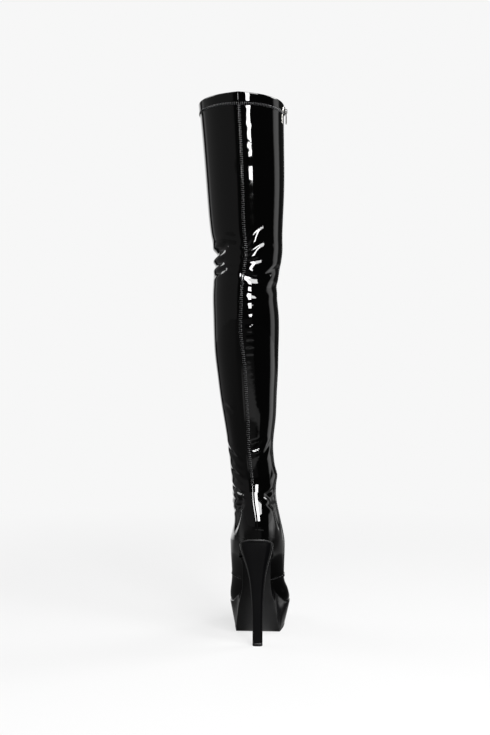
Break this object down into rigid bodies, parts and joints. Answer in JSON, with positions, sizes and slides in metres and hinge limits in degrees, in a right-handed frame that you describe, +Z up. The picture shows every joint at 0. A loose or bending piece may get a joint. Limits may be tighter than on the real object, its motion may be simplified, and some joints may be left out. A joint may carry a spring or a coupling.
{
  "type": "thigh-high boot",
  "caption": "Thigh-high stretch boot for the left foot with a platform, a tall covered heel and a full-length inside zip.",
  "frame": {"origin": "centre of the heel's tread face, on the floor", "axes": "+Z up along the shaft, +Y towards the toe, +X towards the inside of the leg, where the zip is"},
  "size_m": [0.1336, 0.2353, 0.792],
  "materials": {
    "sole_rubber": "matt thin outsole",
    "sole_cover": "glossy patent wrap",
    "heel_cover": "glossy patent wrap",
    "lift_rubber": "matt hard top piece",
    "insole_board": "matt lining",
    "patent": "mirror-gloss stretch patent",
    "zip_fabric": "woven tape",
    "zip_coil": "coil teeth",
    "zip_metal": "bright nickel"
  },
  "bodies": {
    "boot": {"outsole": "sole_rubber", "platform": "sole_cover", "heel": "heel_cover", "heel_lift": "lift_rubber", "insole": "insole_board", "upper": "patent", "shaft": "patent", "zip_tape": "zip_fabric", "zip_chain": "zip_coil", "zip_stop": "zip_metal", "zip_slider": "zip_metal"},
    "pull": {"zip_pull": "zip_metal"}
  },
  "joints": [
    {"name": "pull_swing", "type": "hinge", "parent": "boot", "child": "pull", "pos_m": [0.04074, 0.03588, 0.78251], "axis": [0, -1, 0], "range_deg": [0, 160]}
  ]
}
